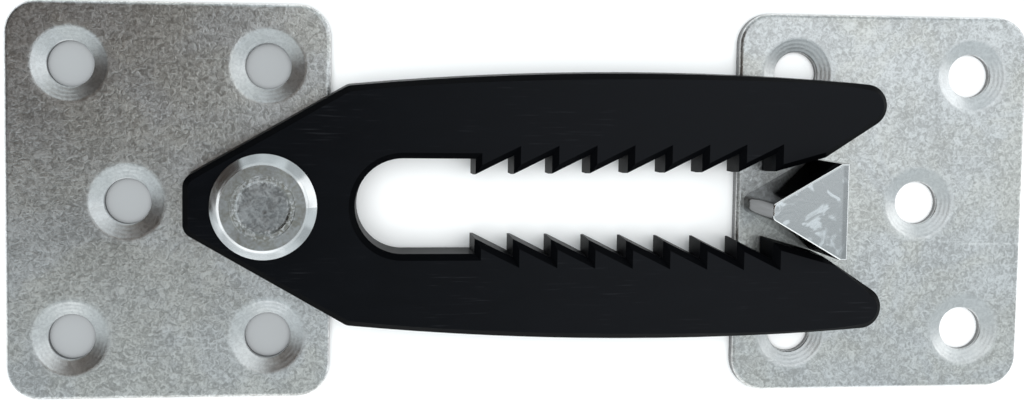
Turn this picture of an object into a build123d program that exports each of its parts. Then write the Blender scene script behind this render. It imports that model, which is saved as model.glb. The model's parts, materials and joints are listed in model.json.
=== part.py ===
from build123d import *
from math import atan2, cos, degrees, radians, sin, tan
import os

# Interlocking furniture connector, lying on its back.
# A moulded fork swivels on a rivet in the left plate, and its toothed jaws take
# a wedge-shaped block that is staked to the right plate.
#
# Frame: both plate backs on Z = 0, +Z towards the rivet head, +X from the jaw
# plate to the catch plate, Y = 0 on the centre line, and X = 0 half way along
# the connected pair. All sizes are in millimetres.

# Both plates are the same blank.
plate_length = 56.0  # along X
plate_width = 70.0  # along Y
plate_thickness = 2.0
plate_corner_radius = 5.8
plate_edge_roll = 0.8  # upper edge, rolled over when the blank was punched
plate_spacing = 74.6  # from one plate's inner edge to the other's, as connected

# Screw holes, each in a coined dish.
screw_hole_radius = 4.0
dish_radius = 6.6
dish_depth = 1.0
dish_rim_blend = 1.2
dish_lip_blend = 0.3  # where the dish meets the hole
screw_inset = 11.0  # corner holes, from both edges
middle_hole_inset = 20.7  # middle hole, from the plate's outer edge

# Pivot rivet.
pivot_inset = 44.85  # from the jaw plate's outer edge
shoulder_radius = 5.0
rivet_tenon_radius = 3.5
head_radius = 9.1
head_edge_height = 0.6
head_bevel_radius = 7.8
head_bevel_height = 1.65
head_disc_radius = 7.3
head_height = 2.1
ring_step_radius = 5.5
ring_step_depth = 0.08
recess_radius = 4.7
recess_floor_radius = 4.3
recess_depth = 0.35

# Staked ends, flush in a countersink at the plate's back.
stake_flare = 0.6
stake_angle = 90.0  # full angle of the countersink

# Fork with the jaws, measured from the pivot axis along X.
jaw_thickness = 6.5
jaw_draft = 3.0  # degrees
jaw_underside_gap = 0.3
jaw_head_gap = 0.1
jaw_bore_clearance = 0.05
jaw_top_chamfer = 1.0
tail_reach = 13.7
tail_half_width = 4.6  # where the tail's flat would meet the flanks
tail_corner_radius = 2.5
shoulder_x = 14.25
shoulder_half_width = 20.8
shoulder_blend = 2.0
widest_x = 65.65
widest_half_width = 23.55
nose_reach = 111.15
nose_radius = 3.8
nose_half_width = 22.15
mouth_corner_x = 99.95
mouth_flank_angle = 33.0

# Slot behind the teeth, with a half-round end.
slot_end_x = 15.45
slot_half_width = 8.4

# Saw teeth: upright faces towards the pivot, slopes towards the mouth.
tooth_count = 9
first_tooth_x = 36.5
tooth_pitch = 6.78
tooth_depth = 3.3
first_tooth_half_gap = 5.7  # sharp tip at the top face
last_tooth_half_gap = 6.45
tooth_tip_trim = 0.35  # the tips below the top are blunted to this much inside the top ones

# Catch block, measured from the catch plate's inner edge along X.
block_height = 13.8
block_wedge_half_angle = 30.0
block_half_width = 8.4
block_shoulder_x = 13.75  # where the wedge faces end
block_heel = 1.65  # parallel stretch behind the wedge faces
block_heel_drop = 0.45  # the top slopes down over the heel
block_nose_half_width = 1.3
block_nose_radius = 1.1
block_edge_break = 0.4
block_tenon_radius = 2.0
block_tenon_xs = (6.9, 13.1)

# Derived places.
overall_length = 2 * plate_length + plate_spacing
jaw_plate_x = (plate_length - overall_length) / 2  # plate centre
catch_plate_x = (overall_length - plate_length) / 2  # plate centre
pivot_x = pivot_inset - overall_length / 2
catch_edge_x = catch_plate_x - plate_length / 2  # catch plate's inner edge
jaw_bottom = plate_thickness + jaw_underside_gap
jaw_top = jaw_bottom + jaw_thickness
head_bottom = jaw_top + jaw_head_gap


def make_plate(centre_x, outer_side, stake_points, stake_radius):
    """A punched plate: five dished screw holes, and countersunk holes at the back for staked tenons.

    outer_side is -1 or 1, the side along X that the middle screw hole is near.
    """
    dish_angle = 2 * degrees(atan2(dish_radius - screw_hole_radius, dish_depth))
    corner_span_x = plate_length - 2 * screw_inset
    corner_span_y = plate_width - 2 * screw_inset
    middle_x = centre_x + outer_side * (plate_length / 2 - middle_hole_inset)

    with BuildPart() as plate:
        with BuildSketch():
            with Locations((centre_x, 0)):
                RectangleRounded(plate_length, plate_width, plate_corner_radius)
        extrude(amount=plate_thickness)
        top_rim = plate.faces().sort_by(Axis.Z)[-1].edges()
        fillet(top_rim, plate_edge_roll)

        with Locations((centre_x, 0, plate_thickness)):
            with GridLocations(corner_span_x, corner_span_y, 2, 2):
                CounterSinkHole(screw_hole_radius, dish_radius, counter_sink_angle=dish_angle)
        with Locations((middle_x, 0, plate_thickness)):
            CounterSinkHole(screw_hole_radius, dish_radius, counter_sink_angle=dish_angle)
        # On the top face only the dish rims are larger than the plate's own corners.
        top_circles = plate.faces().sort_by(Axis.Z)[-1].edges().filter_by(GeomType.CIRCLE)
        dish_rims = top_circles.filter_by(lambda rim: rim.radius > plate_corner_radius)
        fillet(dish_rims, dish_rim_blend)
        lip_z = plate_thickness - dish_depth
        lips = plate.edges().filter_by(GeomType.CIRCLE).filter_by_position(Axis.Z, lip_z, lip_z)
        fillet(lips, dish_lip_blend)

        # Each staked hole opens downwards, so it is drilled from the back.
        for x, y in stake_points:
            with Locations(Plane(origin=(x, y, 0), z_dir=(0, 0, -1))):
                CounterSinkHole(stake_radius, stake_radius + stake_flare, counter_sink_angle=stake_angle)
    return plate


def tooth_points():
    """The toothed edge of the upper arm as X, Y points, from the mouth back to the slot."""
    points = []
    gap_growth = (last_tooth_half_gap - first_tooth_half_gap) / (tooth_count - 1)
    for tooth in reversed(range(tooth_count)):
        face_x = pivot_x + first_tooth_x + tooth * tooth_pitch
        tip_y = first_tooth_half_gap + tooth * gap_growth
        root_y = slot_half_width if tooth == 0 else tip_y + tooth_depth
        points.append((face_x, tip_y))
        points.append((face_x, root_y))
    return points


def make_jaw():
    """The moulded fork: a pointed tail round the pivot, and two toothed arms."""
    flank = radians(mouth_flank_angle)
    tail_corner = (pivot_x - tail_reach, tail_half_width)
    shoulder = (pivot_x + shoulder_x, shoulder_half_width)
    widest = (pivot_x + widest_x, widest_half_width)
    nose_centre_x = pivot_x + nose_reach - nose_radius
    nose_centre_y = nose_half_width - nose_radius
    nose_start = (nose_centre_x, nose_half_width)
    nose_tip = (pivot_x + nose_reach, nose_centre_y)
    # The mouth flank leaves the nose circle at a tangent.
    nose_foot = (nose_centre_x + nose_radius * sin(flank), nose_centre_y - nose_radius * cos(flank))
    mouth_drop = (nose_foot[0] - pivot_x - mouth_corner_x) * tan(flank)
    mouth_corner = (pivot_x + mouth_corner_x, nose_foot[1] - mouth_drop)
    slot_end = (pivot_x + slot_end_x, 0)
    slot_start = (slot_end[0] + slot_half_width, slot_half_width)
    # The clear gap between the blunted tips, from the first tooth to the last.
    first_x = pivot_x + first_tooth_x - tooth_pitch / 2
    last_x = pivot_x + first_tooth_x + (tooth_count - 1) * tooth_pitch
    first_half_gap = first_tooth_half_gap - tooth_tip_trim
    last_half_gap = last_tooth_half_gap - tooth_tip_trim
    gap_corners = [
        (first_x, first_half_gap),
        (last_x, last_half_gap),
        (last_x, -last_half_gap),
        (first_x, -first_half_gap),
    ]

    with BuildPart() as jaw:
        with BuildSketch(Plane.XY.offset(jaw_top)) as outline:
            with BuildLine():
                Line(tail_corner, shoulder)
                ThreePointArc(shoulder, widest, nose_start)
                ThreePointArc(nose_start, nose_tip, nose_foot)
                Polyline(nose_foot, mouth_corner, *tooth_points(), slot_start)
                mirror(about=Plane.XZ)
                Line(tail_corner, (tail_corner[0], -tail_corner[1]))
                ThreePointArc(slot_start, slot_end, (slot_start[0], -slot_start[1]))
            make_face()
            fillet(outline.vertices().group_by(Axis.X)[0], tail_corner_radius)
            shoulders = outline.vertices().sort_by_distance(shoulder)[:1]
            shoulders += outline.vertices().sort_by_distance((shoulder[0], -shoulder[1]))[:1]
            fillet(shoulders, shoulder_blend)
        # The moulding draft widens every wall towards the back.
        extrude(amount=-jaw_thickness, taper=-jaw_draft)
        chamfer(jaw.faces().sort_by(Axis.Z)[-1].edges(), jaw_top_chamfer)
        with BuildSketch(Plane.XY.offset(jaw_bottom)):
            Polygon(*gap_corners, align=None)
        extrude(amount=jaw_thickness, mode=Mode.SUBTRACT)
        with Locations((pivot_x, 0, jaw_top)):
            Hole(shoulder_radius + jaw_bore_clearance)
    return jaw


def make_rivet():
    """A shouldered rivet: the jaw turns on the shoulder, and the tenon is staked into the plate."""
    head_top = head_bottom + head_height
    profile = [
        (0, 0),
        (rivet_tenon_radius + stake_flare, 0),
        (rivet_tenon_radius, stake_flare),
        (rivet_tenon_radius, plate_thickness),
        (shoulder_radius, plate_thickness),
        (shoulder_radius, head_bottom),
        (head_radius, head_bottom),
        (head_radius, head_bottom + head_edge_height),
        (head_bevel_radius, head_bottom + head_bevel_height),
        (head_disc_radius, head_top),
        (ring_step_radius, head_top),
        (ring_step_radius - ring_step_depth, head_top - ring_step_depth),
        (recess_radius, head_top - ring_step_depth),
        (recess_floor_radius, head_top - recess_depth),
        (0, head_top - recess_depth),
    ]
    section = Plane(origin=(pivot_x, 0, 0), x_dir=(1, 0, 0), z_dir=(0, -1, 0))
    with BuildPart() as rivet:
        with BuildSketch(section):
            with BuildLine():
                Polyline(*profile, close=True)
            make_face()
        revolve(axis=Axis((pivot_x, 0, 0), (0, 0, 1)))
    return rivet


def make_catch_block():
    """The wedge: an upright prism with a narrow nose, standing on two staked tenons."""
    shoulder_at = catch_edge_x + block_shoulder_x
    wedge_rise = block_half_width - block_nose_half_width
    nose_x = shoulder_at - wedge_rise / tan(radians(block_wedge_half_angle))
    heel_x = shoulder_at + block_heel
    half_outline = [
        (nose_x, 0),
        (nose_x, block_nose_half_width),
        (shoulder_at, block_half_width),
        (heel_x, block_half_width),
        (heel_x, 0),
    ]
    with BuildPart() as block:
        with BuildSketch(Plane.XY.offset(plate_thickness)) as outline:
            with BuildLine():
                Polyline(*half_outline)
                mirror(about=Plane.XZ)
            make_face()
            fillet(outline.vertices().group_by(Axis.X)[0], block_nose_radius)
        extrude(amount=block_height)
        back_edge = block.faces().sort_by(Axis.Z)[-1].edges().sort_by(Axis.X)[-1]
        chamfer(back_edge, block_heel, block_heel_drop)
        fillet(block.faces().sort_by(Axis.Z)[-1].edges(), block_edge_break)
        with BuildSketch():
            with Locations(*catch_stake_points):
                Circle(block_tenon_radius)
        extrude(amount=plate_thickness)
        with Locations(*catch_stake_points):
            Cone(
                block_tenon_radius + stake_flare,
                block_tenon_radius,
                stake_flare,
                align=(Align.CENTER, Align.CENTER, Align.MIN),
            )
    return block


pivot_stake_points = [(pivot_x, 0)]
catch_stake_points = [(catch_edge_x + x, 0) for x in block_tenon_xs]

jaw_plate = make_plate(jaw_plate_x, -1, pivot_stake_points, rivet_tenon_radius)
catch_plate = make_plate(catch_plate_x, 1, catch_stake_points, block_tenon_radius)
jaw = make_jaw()
pivot_rivet = make_rivet()
catch_block = make_catch_block()

jaw_plate.part.label = "jaw_plate"
catch_plate.part.label = "catch_plate"
jaw.part.label = "jaw"
pivot_rivet.part.label = "pivot_rivet"
catch_block.part.label = "catch_block"

os.makedirs("parts", exist_ok=True)
export_step(jaw_plate.part, "parts/jaw_plate.step")
export_step(catch_plate.part, "parts/catch_plate.step")
export_step(jaw.part, "parts/jaw.step")
export_step(pivot_rivet.part, "parts/pivot_rivet.step")
export_step(catch_block.part, "parts/catch_block.step")
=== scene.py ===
import json
from math import cos, radians, sin

import bpy
from mathutils import Matrix, Vector


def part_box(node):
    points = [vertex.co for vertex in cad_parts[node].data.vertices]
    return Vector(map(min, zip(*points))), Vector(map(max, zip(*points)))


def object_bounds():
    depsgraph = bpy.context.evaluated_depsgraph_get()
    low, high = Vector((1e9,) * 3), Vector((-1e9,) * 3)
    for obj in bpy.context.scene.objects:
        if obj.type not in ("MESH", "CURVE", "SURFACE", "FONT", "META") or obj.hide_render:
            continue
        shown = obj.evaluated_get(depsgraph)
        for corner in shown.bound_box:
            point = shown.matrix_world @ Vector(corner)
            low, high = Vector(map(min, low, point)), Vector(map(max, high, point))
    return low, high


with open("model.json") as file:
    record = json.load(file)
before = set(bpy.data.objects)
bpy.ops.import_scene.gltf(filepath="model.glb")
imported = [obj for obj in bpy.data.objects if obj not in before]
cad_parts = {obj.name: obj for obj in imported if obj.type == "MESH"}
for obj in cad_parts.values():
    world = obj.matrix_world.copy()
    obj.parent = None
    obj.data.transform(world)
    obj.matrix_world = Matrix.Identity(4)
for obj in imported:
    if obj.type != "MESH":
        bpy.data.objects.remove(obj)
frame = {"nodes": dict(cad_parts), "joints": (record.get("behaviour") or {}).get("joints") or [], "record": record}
cad_low, cad_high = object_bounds()

# Interlocking furniture connector: two zinc-plated plates, a black nylon fork that
# swivels on a rivet in one, and a steel wedge block on the other. Every node keeps
# its CAD shape and gets its own material here. Blender's unit is the metre, and the
# materials work in millimetres of the object's own frame.

MM = 0.001
TO_MM = 1000.0

# Camera: nearly straight above, to the left of the middle and a little towards +Y.
CAMERA_PLACE = Vector((-33.5, 21.6, 191.8)) * MM
CAMERA_AIM = Vector((-14.7, 11.6, 0.0)) * MM
CAMERA_ROLL = 0.46  # degrees
CAMERA_LENS = 37.40
CAMERA_SHIFT = (0.0545, -0.0628)

# Bright scratch on the catch plate, in millimetres.
SCRATCH_BELOW = 7.6
SCRATCH_LENGTH = 12.0
SCRATCH_FADE = 1.0

# Painted shade: a darker strip along the block's back edge, in millimetres.
HEEL_STRIP = 1.6
HEEL_FADE = 0.4

# Shade on the floor: where it starts inside the fixed plate's edge, and how far it
# takes to reach its full depth, in millimetres.
SHADE_INSET = 3
SHADE_FADE = 3

# Watts per square metre of a light at level 1.
LIGHT_POWER = 4

record = frame["record"]
mounts = {mount["name"]: mount for mount in record["mounts"]}
joints = {joint["name"]: joint for joint in frame["joints"]}
scene = bpy.context.scene


# ---------------------------------------------------------------- node building


class Shader:
    """A Principled material, with short calls that add nodes and return their output sockets."""

    def __init__(self, name):
        self.material = bpy.data.materials.new(name)
        self.material.use_nodes = True
        self.tree = self.material.node_tree
        self.surface = self.tree.nodes["Principled BSDF"]
        place = self.add("ShaderNodeTexCoord").outputs["Object"]
        self.place = self.vector("SCALE", place, Scale=TO_MM)

    def add(self, kind, **settings):
        node = self.tree.nodes.new(kind)
        for key, value in settings.items():
            setattr(node, key, value)
        return node

    def feed(self, socket, value):
        if isinstance(value, bpy.types.NodeSocket):
            self.tree.links.new(value, socket)
        else:
            socket.default_value = value

    def set(self, **inputs):
        """Sets the surface's own inputs: Base_Color is the socket Base Color."""
        for key, value in inputs.items():
            self.feed(self.surface.inputs[key.replace("_", " ")], value)

    def math(self, operation, *values):
        node = self.add("ShaderNodeMath", operation=operation)
        for socket, value in zip(node.inputs, values):
            self.feed(socket, value)
        return node.outputs[0]

    def vector(self, operation, *values, **inputs):
        node = self.add("ShaderNodeVectorMath", operation=operation)
        for socket, value in zip(node.inputs, values):
            self.feed(socket, value)
        for key, value in inputs.items():
            self.feed(node.inputs[key], value)
        return node.outputs["Value" if operation in ("DISTANCE", "LENGTH") else "Vector"]

    def stretch(self, x, y, z):
        """The place in millimetres, scaled along each axis."""
        return self.vector("MULTIPLY", self.place, (x, y, z))

    def noise(self, scale, detail=3.0, roughness=0.55, distortion=0.0, place=None):
        node = self.add("ShaderNodeTexNoise")
        self.feed(node.inputs["Vector"], place or self.place)
        node.inputs["Scale"].default_value = scale
        node.inputs["Detail"].default_value = detail
        node.inputs["Roughness"].default_value = roughness
        node.inputs["Distortion"].default_value = distortion
        return node.outputs["Fac"]

    def span(self, value, low, high, to_low=0.0, to_high=1.0):
        """Maps value from low..high to to_low..to_high with soft ends."""
        node = self.add("ShaderNodeMapRange", interpolation_type="SMOOTHSTEP")
        keys = ("Value", "From Min", "From Max", "To Min", "To Max")
        for key, given in zip(keys, (value, low, high, to_low, to_high)):
            self.feed(node.inputs[key], given)
        return node.outputs["Result"]

    def blend(self, kind, factor, a, b):
        """Two colours put together in the Mix node's way of that name."""
        node = self.add("ShaderNodeMix", data_type="RGBA", blend_type=kind)
        for key, value in (("Factor_Float", factor), ("A_Color", a), ("B_Color", b)):
            socket = next(s for s in node.inputs if s.identifier == key)
            self.feed(socket, value)
        return next(s for s in node.outputs if s.identifier == "Result_Color")

    def mix(self, factor, a, b):
        """Goes from colour a to colour b as the factor goes from 0 to 1."""
        return self.blend("MIX", factor, a, b)

    def multiply(self, a, b):
        """The product of two colours."""
        return self.blend("MULTIPLY", 1.0, a, b)

    def bump(self, height_mm):
        """Bump from a height in millimetres."""
        node = self.add("ShaderNodeBump")
        node.inputs["Strength"].default_value = 1.0
        node.inputs["Distance"].default_value = MM
        self.feed(node.inputs["Height"], height_mm)
        return node.outputs["Normal"]

    def upward(self):
        """How far the true surface faces up or down: 1 on flat faces, 0 on upright walls."""
        normal = self.add("ShaderNodeNewGeometry").outputs["True Normal"]
        node = self.add("ShaderNodeSeparateXYZ")
        self.feed(node.inputs[0], normal)
        return self.math("ABSOLUTE", node.outputs["Z"])

    def split_place(self):
        """The place's X and Y in millimetres."""
        node = self.add("ShaderNodeSeparateXYZ")
        self.feed(node.inputs[0], self.place)
        return node.outputs["X"], node.outputs["Y"]

    def radius(self, centre):
        """Distance in millimetres from an upright axis."""
        flat = self.stretch(1, 1, 0)
        return self.vector("DISTANCE", flat, (centre[0] * TO_MM, centre[1] * TO_MM, 0))


def grey(level, blue=0.0):
    """A linear grey, cooler where blue is above 0."""
    return (level * (1 - blue), level, level * (1 + blue), 1)


# ---------------------------------------------------------------- materials


def hole_centres(plate):
    """The five screw holes of a plate, from the record's mounts."""
    screws = mounts[plate + "_screws"]
    half_x = screws["dims"]["spacing_x_mm"] * MM / 2
    half_y = screws["dims"]["spacing_y_mm"] * MM / 2
    x, y, _ = screws["pos_m"]
    corners = [(x + i * half_x, y + j * half_y) for i in (-1, 1) for j in (-1, 1)]
    return corners + [tuple(mounts[plate + "_middle_hole"]["pos_m"][:2])]


def edge_scratch(s, plate):
    """One bright scratch that runs in from the plate's outer end, a little below its middle."""
    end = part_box(plate)[1].x * TO_MM
    x, y = s.split_place()
    off_line = s.math("ABSOLUTE", s.math("ADD", y, SCRATCH_BELOW))
    thin = s.span(off_line, 0.08, 0.28, 1.0, 0.0)
    length = s.span(x, end - SCRATCH_LENGTH, end - SCRATCH_LENGTH + SCRATCH_FADE)
    broken = s.span(s.noise(1.0, detail=1.0, place=s.stretch(0.9, 0.1, 1)), 0.40, 0.50)
    return s.math("MULTIPLY", s.math("MULTIPLY", thin, length), broken)


def zinc_sheet(plate, light, dark):
    """Zinc-plated sheet: blotchy mottle, rolling lines, burnished dishes and sheared edges."""
    s = Shader(plate + "_zinc")
    blotch = s.noise(1.05, detail=3.0, roughness=0.62, distortion=1.3)
    fine = s.noise(2.4, detail=3.0, roughness=0.6, distortion=0.6)
    cloud = s.noise(0.10, detail=2.0)
    tint = s.noise(0.06, detail=4.0, distortion=0.8)
    streak = s.noise(1.0, detail=1.0, place=s.stretch(0.045, 4.5, 1))
    patch = s.noise(0.11, detail=1.0, place=s.stretch(1, 1.6, 1))
    scratch = s.math("MULTIPLY", s.span(streak, 0.69, 0.75), s.span(patch, 0.50, 0.60))
    if plate == "catch_plate":
        scratch = s.math("MAXIMUM", scratch, edge_scratch(s, plate))

    # Burnished dish round each screw hole, with faint rings from the punch.
    distances = [s.radius(centre) for centre in hole_centres(plate)]
    nearest = distances[0]
    for distance in distances[1:]:
        nearest = s.math("MINIMUM", nearest, distance)
    dish = s.span(nearest, 5.8, 7.8, 1.0, 0.0)
    rings = s.math("SINE", s.math("MULTIPLY_ADD", blotch, 1.5, s.math("MULTIPLY", nearest, 9.0)))
    wall = s.span(s.upward(), 0.15, 0.45, 1.0, 0.0)

    tone = s.math("ADD", s.math("MULTIPLY", blotch, 0.62), s.math("MULTIPLY", fine, 0.23))
    tone = s.math("MULTIPLY_ADD", cloud, 0.15, tone)
    colour = s.mix(s.span(tone, 0.36, 0.64), dark, light)
    olive = s.mix(s.span(tint, 0.40, 0.62), (1.0, 1.0, 1.0, 1), (1.0, 0.985, 0.945, 1))
    colour = s.multiply(colour, olive)
    colour = s.mix(s.math("MULTIPLY", scratch, 0.55), colour, grey(0.90))
    colour = s.mix(s.math("MULTIPLY", dish, 0.60), colour, grey(0.80, 0.01))
    shear = s.noise(1.0, detail=3.0, place=s.stretch(2.5, 2.5, 0.5))
    colour = s.mix(wall, colour, s.mix(shear, grey(0.14, 0.02), grey(0.34)))

    rough = s.math("MULTIPLY_ADD", blotch, 0.16, 0.26)
    rough = s.math("MULTIPLY_ADD", dish, 0.04, rough)
    rough = s.math("MULTIPLY_ADD", wall, 0.14, rough)
    height = s.math("MULTIPLY", blotch, 0.055)
    height = s.math("MULTIPLY_ADD", fine, 0.020, height)
    height = s.math("MULTIPLY", height, s.math("MULTIPLY_ADD", dish, -0.60, 1.0))
    height = s.math("MULTIPLY_ADD", s.math("MULTIPLY", rings, dish), 0.005, height)
    height = s.math("MULTIPLY_ADD", scratch, -0.010, height)
    s.set(Metallic=1.0, Base_Color=colour, Roughness=rough, Normal=s.bump(height))
    return s.material


def rivet_steel():
    """Bright rivet: polished bevel, ringed disc and a rough staked recess."""
    s = Shader("rivet_zinc")
    pivot = joints["jaw_pivot"]["pos_m"]
    r = s.radius(pivot)
    fine = s.noise(1.9, detail=3.0, distortion=0.4)
    coarse = s.noise(0.50, detail=3.0, distortion=1.0)
    # Slow changes along the bevel only.
    sector = s.noise(0.16, detail=1.0, distortion=0.5)
    disc = s.span(r, 7.15, 7.35, 1.0, 0.0)
    recess = s.span(r, 3.9, 5.1, 1.0, 0.0)
    ridge = s.math("MULTIPLY", s.span(r, 7.15, 7.4), s.span(r, 7.5, 7.8, 1.0, 0.0))
    offset = (pivot[0] + 0.3 * MM, pivot[1] - 0.6 * MM)
    centre = s.span(s.radius(offset), 0.15, 0.60, 1.0, 0.0)
    crust = s.math("MULTIPLY", s.span(r, 3.6, 4.6), s.span(r, 5.0, 5.9, 1.0, 0.0))
    crust = s.math("MULTIPLY", crust, s.span(fine, 0.50, 0.60))
    rings = s.math("SINE", s.math("MULTIPLY_ADD", coarse, 2.0, s.math("MULTIPLY", r, 6.0)))

    mottle = s.math("ADD", s.math("MULTIPLY", fine, 0.45), s.math("MULTIPLY", coarse, 0.55))
    bevel_colour = s.mix(s.span(sector, 0.38, 0.62), grey(0.56, 0.01), grey(0.84, 0.01))
    bevel_colour = s.mix(s.math("MULTIPLY", ridge, 0.5), bevel_colour, grey(0.90))
    disc_colour = s.mix(s.span(mottle, 0.35, 0.66), (0.34, 0.335, 0.305, 1), grey(0.50, 0.03))
    recess_colour = s.mix(s.span(mottle, 0.38, 0.62), grey(0.26, 0.02), grey(0.50, 0.02))
    colour = s.mix(disc, bevel_colour, s.mix(recess, disc_colour, recess_colour))
    colour = s.mix(s.math("MULTIPLY", crust, 0.6), colour, grey(0.80))
    colour = s.mix(centre, colour, grey(0.24))

    rough = s.math("MULTIPLY_ADD", disc, 0.18, s.math("MULTIPLY_ADD", fine, 0.08, 0.16))
    height = s.math("MULTIPLY", rings, s.math("MULTIPLY", disc, 0.0025))
    height = s.math("MULTIPLY_ADD", s.math("MULTIPLY", coarse, recess), 0.09, height)
    height = s.math("MULTIPLY_ADD", s.math("MULTIPLY", fine, recess), 0.02, height)
    height = s.math("MULTIPLY_ADD", sector, 0.25, height)
    height = s.math("MULTIPLY_ADD", centre, -0.03, height)
    height = s.math("MULTIPLY_ADD", crust, 0.03, height)
    s.set(Metallic=1.0, Base_Color=colour, Roughness=rough, Normal=s.bump(height))
    return s.material


def block_steel():
    """Bright block: mirror-like sides with draw marks, coloured dark as painted shade, and a top with polished
    patches, a painted darker strip along the back and painted highlights on the rounded edges.
    """
    s = Shader("block_zinc")
    upward = s.upward()
    top = s.span(upward, 0.80, 0.97)
    painted_edge_highlight = s.math("MULTIPLY", s.span(upward, 0.25, 0.5), s.span(upward, 0.93, 0.99, 1.0, 0.0))
    x, _ = s.split_place()
    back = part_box("catch_block")[1].x * TO_MM
    heel_shade = s.span(x, back - HEEL_STRIP - HEEL_FADE, back - HEEL_STRIP)
    fine = s.noise(1.6, detail=3.0, distortion=1.0)
    marks = s.noise(0.24, detail=3.0, distortion=1.4)
    draw = s.noise(1.0, detail=3.0, place=s.stretch(1.6, 1.6, 0.12))
    bright = s.span(marks, 0.52, 0.63)
    top_colour = s.mix(bright, grey(0.46, 0.02), grey(0.74, 0.03))
    # Painted shade on the strip along the back edge.
    top_colour = s.mix(s.math("MULTIPLY", heel_shade, 0.7), top_colour, grey(0.30, 0.02))
    # Painted shade: the sides are coloured much darker than the top, standing in for the dark that they reflect.
    shaded_side_colour = s.mix(draw, grey(0.10, 0.02), grey(0.22, 0.02))
    colour = s.mix(top, shaded_side_colour, top_colour)
    # Painted highlight along the rounded edges between the top and the sides.
    colour = s.mix(s.math("MULTIPLY", painted_edge_highlight, 0.9), colour, grey(0.97))
    rough = s.math("MULTIPLY_ADD", top, 0.22, s.math("MULTIPLY_ADD", fine, 0.05, 0.03))
    height = s.math("MULTIPLY", s.math("MULTIPLY", marks, top), 0.03)
    height = s.math("MULTIPLY_ADD", fine, 0.006, height)
    height = s.math("MULTIPLY_ADD", draw, 0.012, height)
    s.set(Metallic=1.0, Base_Color=colour, Roughness=rough, Normal=s.bump(height))
    return s.material


def black_nylon():
    """Moulded nylon: satin black with a fine skin, faint flow marks and scuffs, painted shade on the chamfer
    slopes and painted light towards the mouth.
    """
    s = Shader("satin_nylon")
    upward = s.upward()
    slope = s.math("MULTIPLY", s.span(upward, 0.30, 0.55), s.span(upward, 0.80, 0.95, 1.0, 0.0))
    skin = s.noise(4.0, detail=2.0)
    flow = s.noise(0.10, detail=4.0, distortion=1.5, place=s.stretch(0.5, 1.4, 1))
    streak = s.noise(1.0, detail=2.0, place=s.stretch(0.12, 3.2, 1))
    patch = s.noise(0.09, detail=2.0)
    scuff = s.math("MULTIPLY", s.span(streak, 0.60, 0.74), s.span(patch, 0.46, 0.62))
    # Painted light: the moulding is coloured a little lighter towards the mouth.
    x, _ = s.split_place()
    mouth_light = s.span(x, -60.0, 50.0)
    colour = s.mix(flow, (0.0003, 0.0006, 0.0012, 1), (0.0018, 0.0023, 0.0036, 1))
    colour = s.mix(s.math("MULTIPLY", mouth_light, 0.45), colour, (0.0090, 0.0093, 0.0110, 1))
    colour = s.mix(s.math("MULTIPLY", scuff, 0.4), colour, (0.018, 0.019, 0.022, 1))
    # Painted shade: the chamfer slopes are coloured near black, standing in for the dark that they reflect.
    colour = s.mix(s.math("MULTIPLY", slope, 0.75), colour, (0.0008, 0.0009, 0.0012, 1))
    rough = s.math("MULTIPLY_ADD", flow, 0.16, 0.34)
    rough = s.math("MULTIPLY_ADD", scuff, 0.12, rough)
    level = s.math("MULTIPLY_ADD", slope, -0.05, 0.08)
    height = s.math("MULTIPLY", skin, 0.006)
    height = s.math("MULTIPLY_ADD", flow, 0.05, height)
    s.set(Base_Color=colour, Roughness=rough, Specular_IOR_Level=level, Normal=s.bump(height))
    return s.material


def paper():
    """The pale floor, with a shade that lies wholly under the fixed plate and shows only in its holes."""
    s = Shader("pale_paper")
    low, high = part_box("jaw_plate")
    middle = (low + high) / 2 * TO_MM
    half = (high - low) / 2 * TO_MM
    x, y = s.split_place()
    across = s.math("ABSOLUTE", s.math("SUBTRACT", x, middle.x))
    along = s.math("ABSOLUTE", s.math("SUBTRACT", y, middle.y))
    full = SHADE_INSET + SHADE_FADE
    under_x = s.span(across, half.x - full, half.x - SHADE_INSET, 1.0, 0.0)
    under_y = s.span(along, half.y - full, half.y - SHADE_INSET, 1.0, 0.0)
    under = s.math("MULTIPLY", under_x, under_y)
    tone = s.noise(0.02, detail=3.0)
    colour = s.mix(tone, grey(0.92), grey(0.95))
    colour = s.mix(under, colour, grey(0.35, 0.02))
    s.set(Base_Color=colour, Roughness=0.9, Specular_IOR_Level=0.1)
    return s.material


def finish_node(name, material):
    for slot in frame["nodes"][name].material_slots:
        slot.material = material


finish_node("jaw_plate", zinc_sheet("jaw_plate", grey(0.84, 0.01), grey(0.42, 0.0)))
finish_node("catch_plate", zinc_sheet("catch_plate", grey(0.82, 0.01), grey(0.46, 0.0)))
finish_node("pivot_rivet", rivet_steel())
finish_node("catch_block", block_steel())
finish_node("jaw", black_nylon())


# ---------------------------------------------------------------- stage


def make_card(name, centre, size, facing, material):
    """A flat card of the given width and height that faces a point."""
    half_w = size[0] / 2
    half_h = size[1] / 2
    mesh = bpy.data.meshes.new(name)
    corners = [(-half_w, -half_h, 0), (half_w, -half_h, 0), (half_w, half_h, 0), (-half_w, half_h, 0)]
    mesh.from_pydata(corners, [], [(0, 1, 2, 3)])
    mesh.materials.append(material)
    card = bpy.data.objects.new(name, mesh)
    scene.collection.objects.link(card)
    card.location = centre
    card.rotation_mode = "QUATERNION"
    card.rotation_quaternion = (Vector(facing) - Vector(centre)).to_track_quat("Z", "Y")
    return card


def make_light(name, centre, size, level, facing):
    """A soft rectangular light that faces a point."""
    data = bpy.data.lights.new(name, "AREA")
    data.shape = "RECTANGLE"
    data.size = size[0]
    data.size_y = size[1]
    data.energy = level * size[0] * size[1] * LIGHT_POWER
    light = bpy.data.objects.new(name, data)
    scene.collection.objects.link(light)
    light.location = centre
    light.rotation_mode = "QUATERNION"
    light.rotation_quaternion = (Vector(facing) - Vector(centre)).to_track_quat("-Z", "Y")
    light.visible_camera = False
    return light


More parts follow.
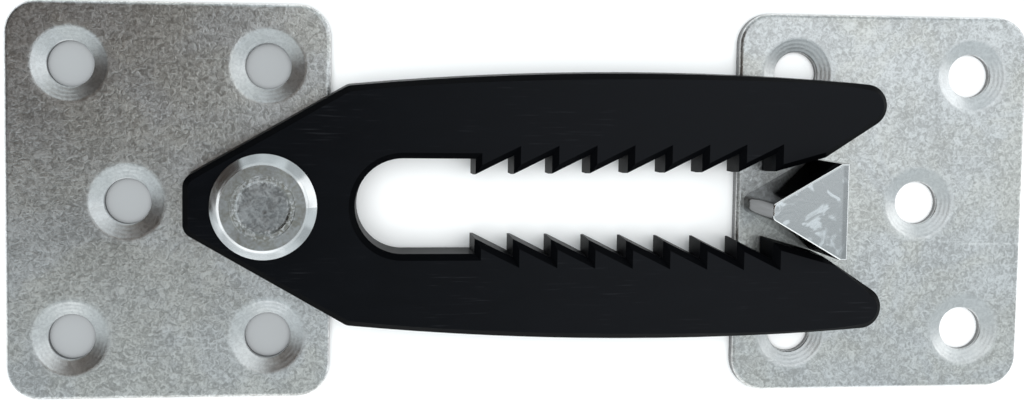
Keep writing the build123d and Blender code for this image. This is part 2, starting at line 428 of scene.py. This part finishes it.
def flag_dark(name, level):
    """Dull warm dark card that only reflections see."""
    s = Shader(name)
    tone = s.noise(0.01)
    warm = [level * share for share in (2.1, 1.25, 0.75)]
    paler = [1.3 * value for value in warm]
    s.set(Base_Color=s.mix(tone, (*warm, 1), (*paler, 1)), Roughness=1.0)
    return s.material


def make_stage():
    middle = (cad_low + cad_high) / 2
    floor_size = 6.0
    floor_gap = 0.05 * MM
    floor = make_card("floor", (0, 0, cad_low.z - floor_gap), (floor_size, floor_size), (0, 0, 1), paper())
    floor.rotation_quaternion = (1, 0, 0, 0)

    over_place = Vector((-0.27, 0.14, 0.40))
    over_foot = Vector((over_place.x, over_place.y, 0))
    over = make_card("flag_over", over_place, (0.44, 0.40), over_foot, flag_dark("flag_over", 0.030))
    side_place = Vector((-0.36, 0.13, 0.165))
    side_facing = Vector((-0.05, 0, 0.12))
    side = make_card("flag_side", side_place, (0.46, 0.36), side_facing, flag_dark("flag_side", 0.008))
    for card in (over, side):
        card.visible_camera = False
        card.visible_shadow = False
        card.visible_diffuse = False

    make_light("softbox_over", (0.19, 0.09, 0.50), (0.46, 0.30), 0.38, (0.19, 0.09, 0))
    make_light("softbox_right", (0.50, 0.15, 0.20), (0.40, 0.22), 0.85, middle)
    make_light("softbox_front", (-0.10, -0.50, 0.18), (0.50, 0.20), 0.6, middle)
    fill = make_light("floor_fill", (0, 0, 1.2), (1.6, 1.6), 1.6, middle)
    fill.visible_glossy = False

    world = bpy.data.worlds.new("studio")
    scene.world = world
    world.use_nodes = True
    background = world.node_tree.nodes["Background"]
    background.inputs["Color"].default_value = (0.90, 0.99, 1.02, 1)
    background.inputs["Strength"].default_value = 0.68
    scene.view_settings.view_transform = "Standard"


def make_camera():
    data = bpy.data.cameras.new("camera")
    camera = bpy.data.objects.new("camera", data)
    scene.collection.objects.link(camera)
    back = (CAMERA_PLACE - CAMERA_AIM).normalized()
    across = Vector((1, 0, 0))
    across = (across - back * across.dot(back)).normalized()
    upright = back.cross(across)
    roll = radians(CAMERA_ROLL)
    right = across * cos(roll) + upright * sin(roll)
    up = back.cross(right)
    turn = Matrix((right, up, back)).transposed()
    camera.matrix_world = Matrix.Translation(CAMERA_PLACE) @ turn.to_4x4()
    data.sensor_width = 36.0
    data.lens = CAMERA_LENS
    data.shift_x, data.shift_y = CAMERA_SHIFT
    data.clip_start = 0.005
    data.clip_end = 20.0
    scene.camera = camera


make_camera()
make_stage()
